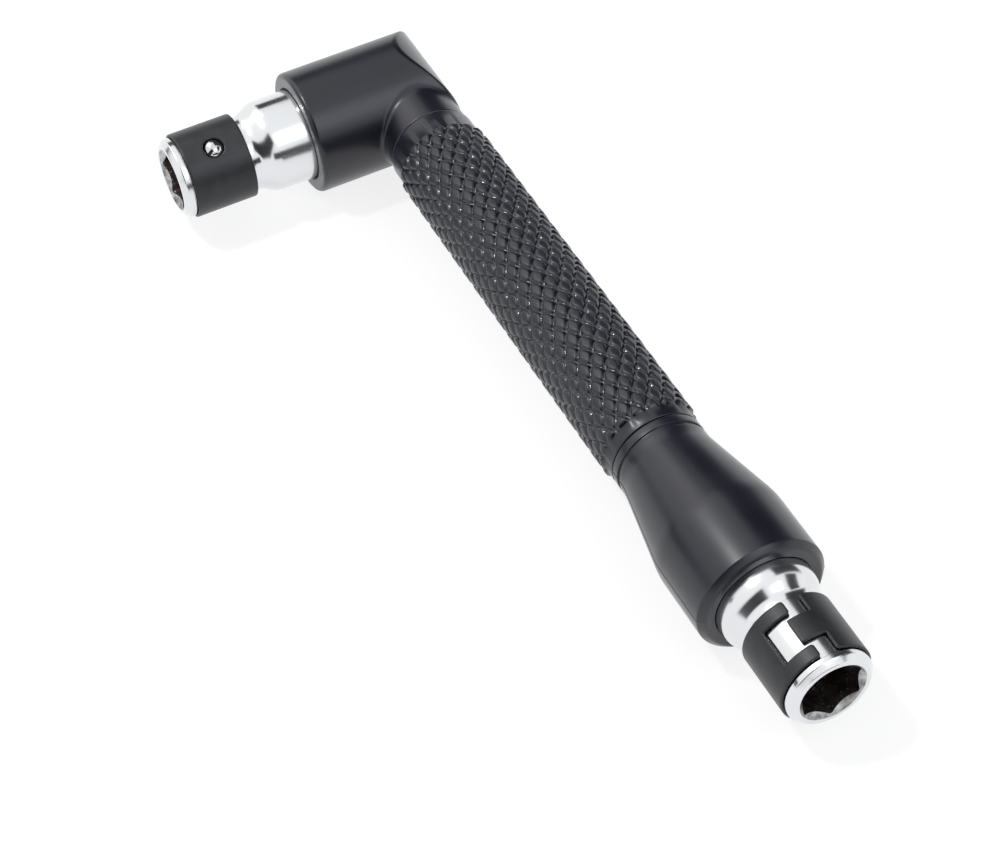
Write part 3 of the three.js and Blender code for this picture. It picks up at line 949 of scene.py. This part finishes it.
def paper_sweep():
    """White paper: lit and shadowed, with a glow that keeps it white to the camera and in reflections."""
    paper = bpy.data.materials.new("white_paper_sweep")
    paper.use_nodes = True
    tree = paper.node_tree
    tree.nodes.clear()
    path = add(tree, "ShaderNodeLightPath")
    matte = add(tree, "ShaderNodeBsdfDiffuse", {"Color": linear("929292")})
    direct = add(tree, "ShaderNodeMath", {
        0: path.outputs["Is Camera Ray"],
        1: FLOOR_GLOW,
    }, operation="MULTIPLY")
    strength = add(tree, "ShaderNodeMath", {
        0: path.outputs["Is Glossy Ray"],
        1: FLOOR_IN_REFLECTIONS,
        2: direct.outputs[0],
    }, operation="MULTIPLY_ADD")
    glow = add(tree, "ShaderNodeEmission", {"Color": (1, 1, 1, 1), "Strength": strength.outputs[0]})
    both = add(tree, "ShaderNodeAddShader", {0: matte.outputs["BSDF"], 1: glow.outputs["Emission"]})
    add(tree, "ShaderNodeOutputMaterial", {"Surface": both.outputs["Shader"]})
    return paper


def studio_cloth():
    """Grey cloth on a frame that thins out to its edges, so that its reflections end softly."""
    cloth = bpy.data.materials.new("grey_studio_cloth")
    cloth.use_nodes = True
    tree = cloth.node_tree
    tree.nodes.clear()
    coordinates = add(tree, "ShaderNodeTexCoord")
    spread = add(tree, "ShaderNodeSeparateXYZ", {"Vector": coordinates.outputs["UV"]})
    across = add(tree, "ShaderNodeMath", {0: spread.outputs["X"], 1: 0.5}, operation="PINGPONG")
    along = add(tree, "ShaderNodeMath", {0: spread.outputs["Y"], 1: 0.5}, operation="PINGPONG")
    inward = add(tree, "ShaderNodeMath", {0: across.outputs[0], 1: along.outputs[0]}, operation="MINIMUM")
    cover = add(tree, "ShaderNodeMapRange", {"Value": inward.outputs[0], "From Max": CARD_FADE})
    matte = add(tree, "ShaderNodeBsdfDiffuse", {"Color": linear("6c6c6e")})
    clear = add(tree, "ShaderNodeBsdfTransparent")
    both = add(tree, "ShaderNodeMixShader", {
        0: cover.outputs["Result"],
        1: clear.outputs["BSDF"],
        2: matte.outputs["BSDF"],
    })
    add(tree, "ShaderNodeOutputMaterial", {"Surface": both.outputs["Shader"]})
    return cloth


def studio():
    """A white floor and surround, soft lamps, and dark cards that only reflections see."""
    white_surround()
    floor_corners = [(FLOOR_REACH * x, FLOOR_REACH * y, 0) for x, y in ((-1, -1), (1, -1), (1, 1), (-1, 1))]
    flat_sheet("floor", floor_corners, paper_sweep())
    for settings in LAMPS:
        lamp(*settings)
    cloth = studio_cloth()
    for name, *corners in DARK_CARDS:
        card = flat_sheet(name, corners, cloth)
        card.visible_camera = False
        card.visible_diffuse = False
        card.visible_shadow = False


def dress_end(prefix, collar, place):
    """One end's socket, clip and ball."""
    points, faces = socket(collar)
    body = make_piece(f"{prefix}_chrome_socket", place(points), faces, chrome, sharp_degrees=35)
    body.data.materials.append(bore_steel)
    body.data.materials.append(countersink_shade_steel)
    body.data.polygons.foreach_set("material_index", socket_finishes(points, faces))
    points, faces = ball_bore()
    drill(body, make_piece("ball_bore", place(points), faces, chrome, sharp_degrees=35), sharp_degrees=35)
    settle(body, f"{prefix}_socket")
    points, faces = ball()
    detent = make_piece(f"{prefix}_detent_ball", place(points), faces, ball_steel, sharp_degrees=60)
    settle(detent, f"{prefix}_ball", f"{prefix}_detent")
    points, faces = clip()
    sleeve = make_piece(f"{prefix}_spring_clip", place(points), faces, spring, sharp_degrees=60)
    seam, hole = place([(BALL_PLACE, 0, -CLIP_OUTER), (BALL_PLACE, 0, CLIP_OUTER)])
    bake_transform(sleeve)
    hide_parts(f"{prefix}_clip")


nylon = moulded_nylon("moulded_black_nylon", knurled=False)
knurled_nylon = moulded_nylon("moulded_black_nylon_knurled", knurled=True)
chrome = chrome_plate()
bore_steel = oiled_bore()
# The countersink's grey steel carries painted shade.
countersink_shade_steel = countersink_painted_shade()
spring = blackened_spring_steel()
ball_steel = polished_ball_steel()

camera()
studio()

elbow_piece = make_piece("black_elbow", *elbow(), nylon, sharp_degrees=60)
grip_piece = make_piece("black_knurled_grip", *grip(), knurled_nylon, sharp_degrees=70)
flare_piece = make_piece("black_flared_end", *flare(), nylon, sharp_degrees=40)
settle(elbow_piece, "elbow_head")
settle(grip_piece, "knurled_grip")
settle(flare_piece, "flared_end")
dress_end("handle", HANDLE_MOUTH - FLARE_FACE - SHOULDER_BACK, handle_place)
dress_end("head", HEAD_MOUTH - HEAD_FACE - SHOULDER_BACK, head_place)

scene.view_settings.view_transform = "Standard"
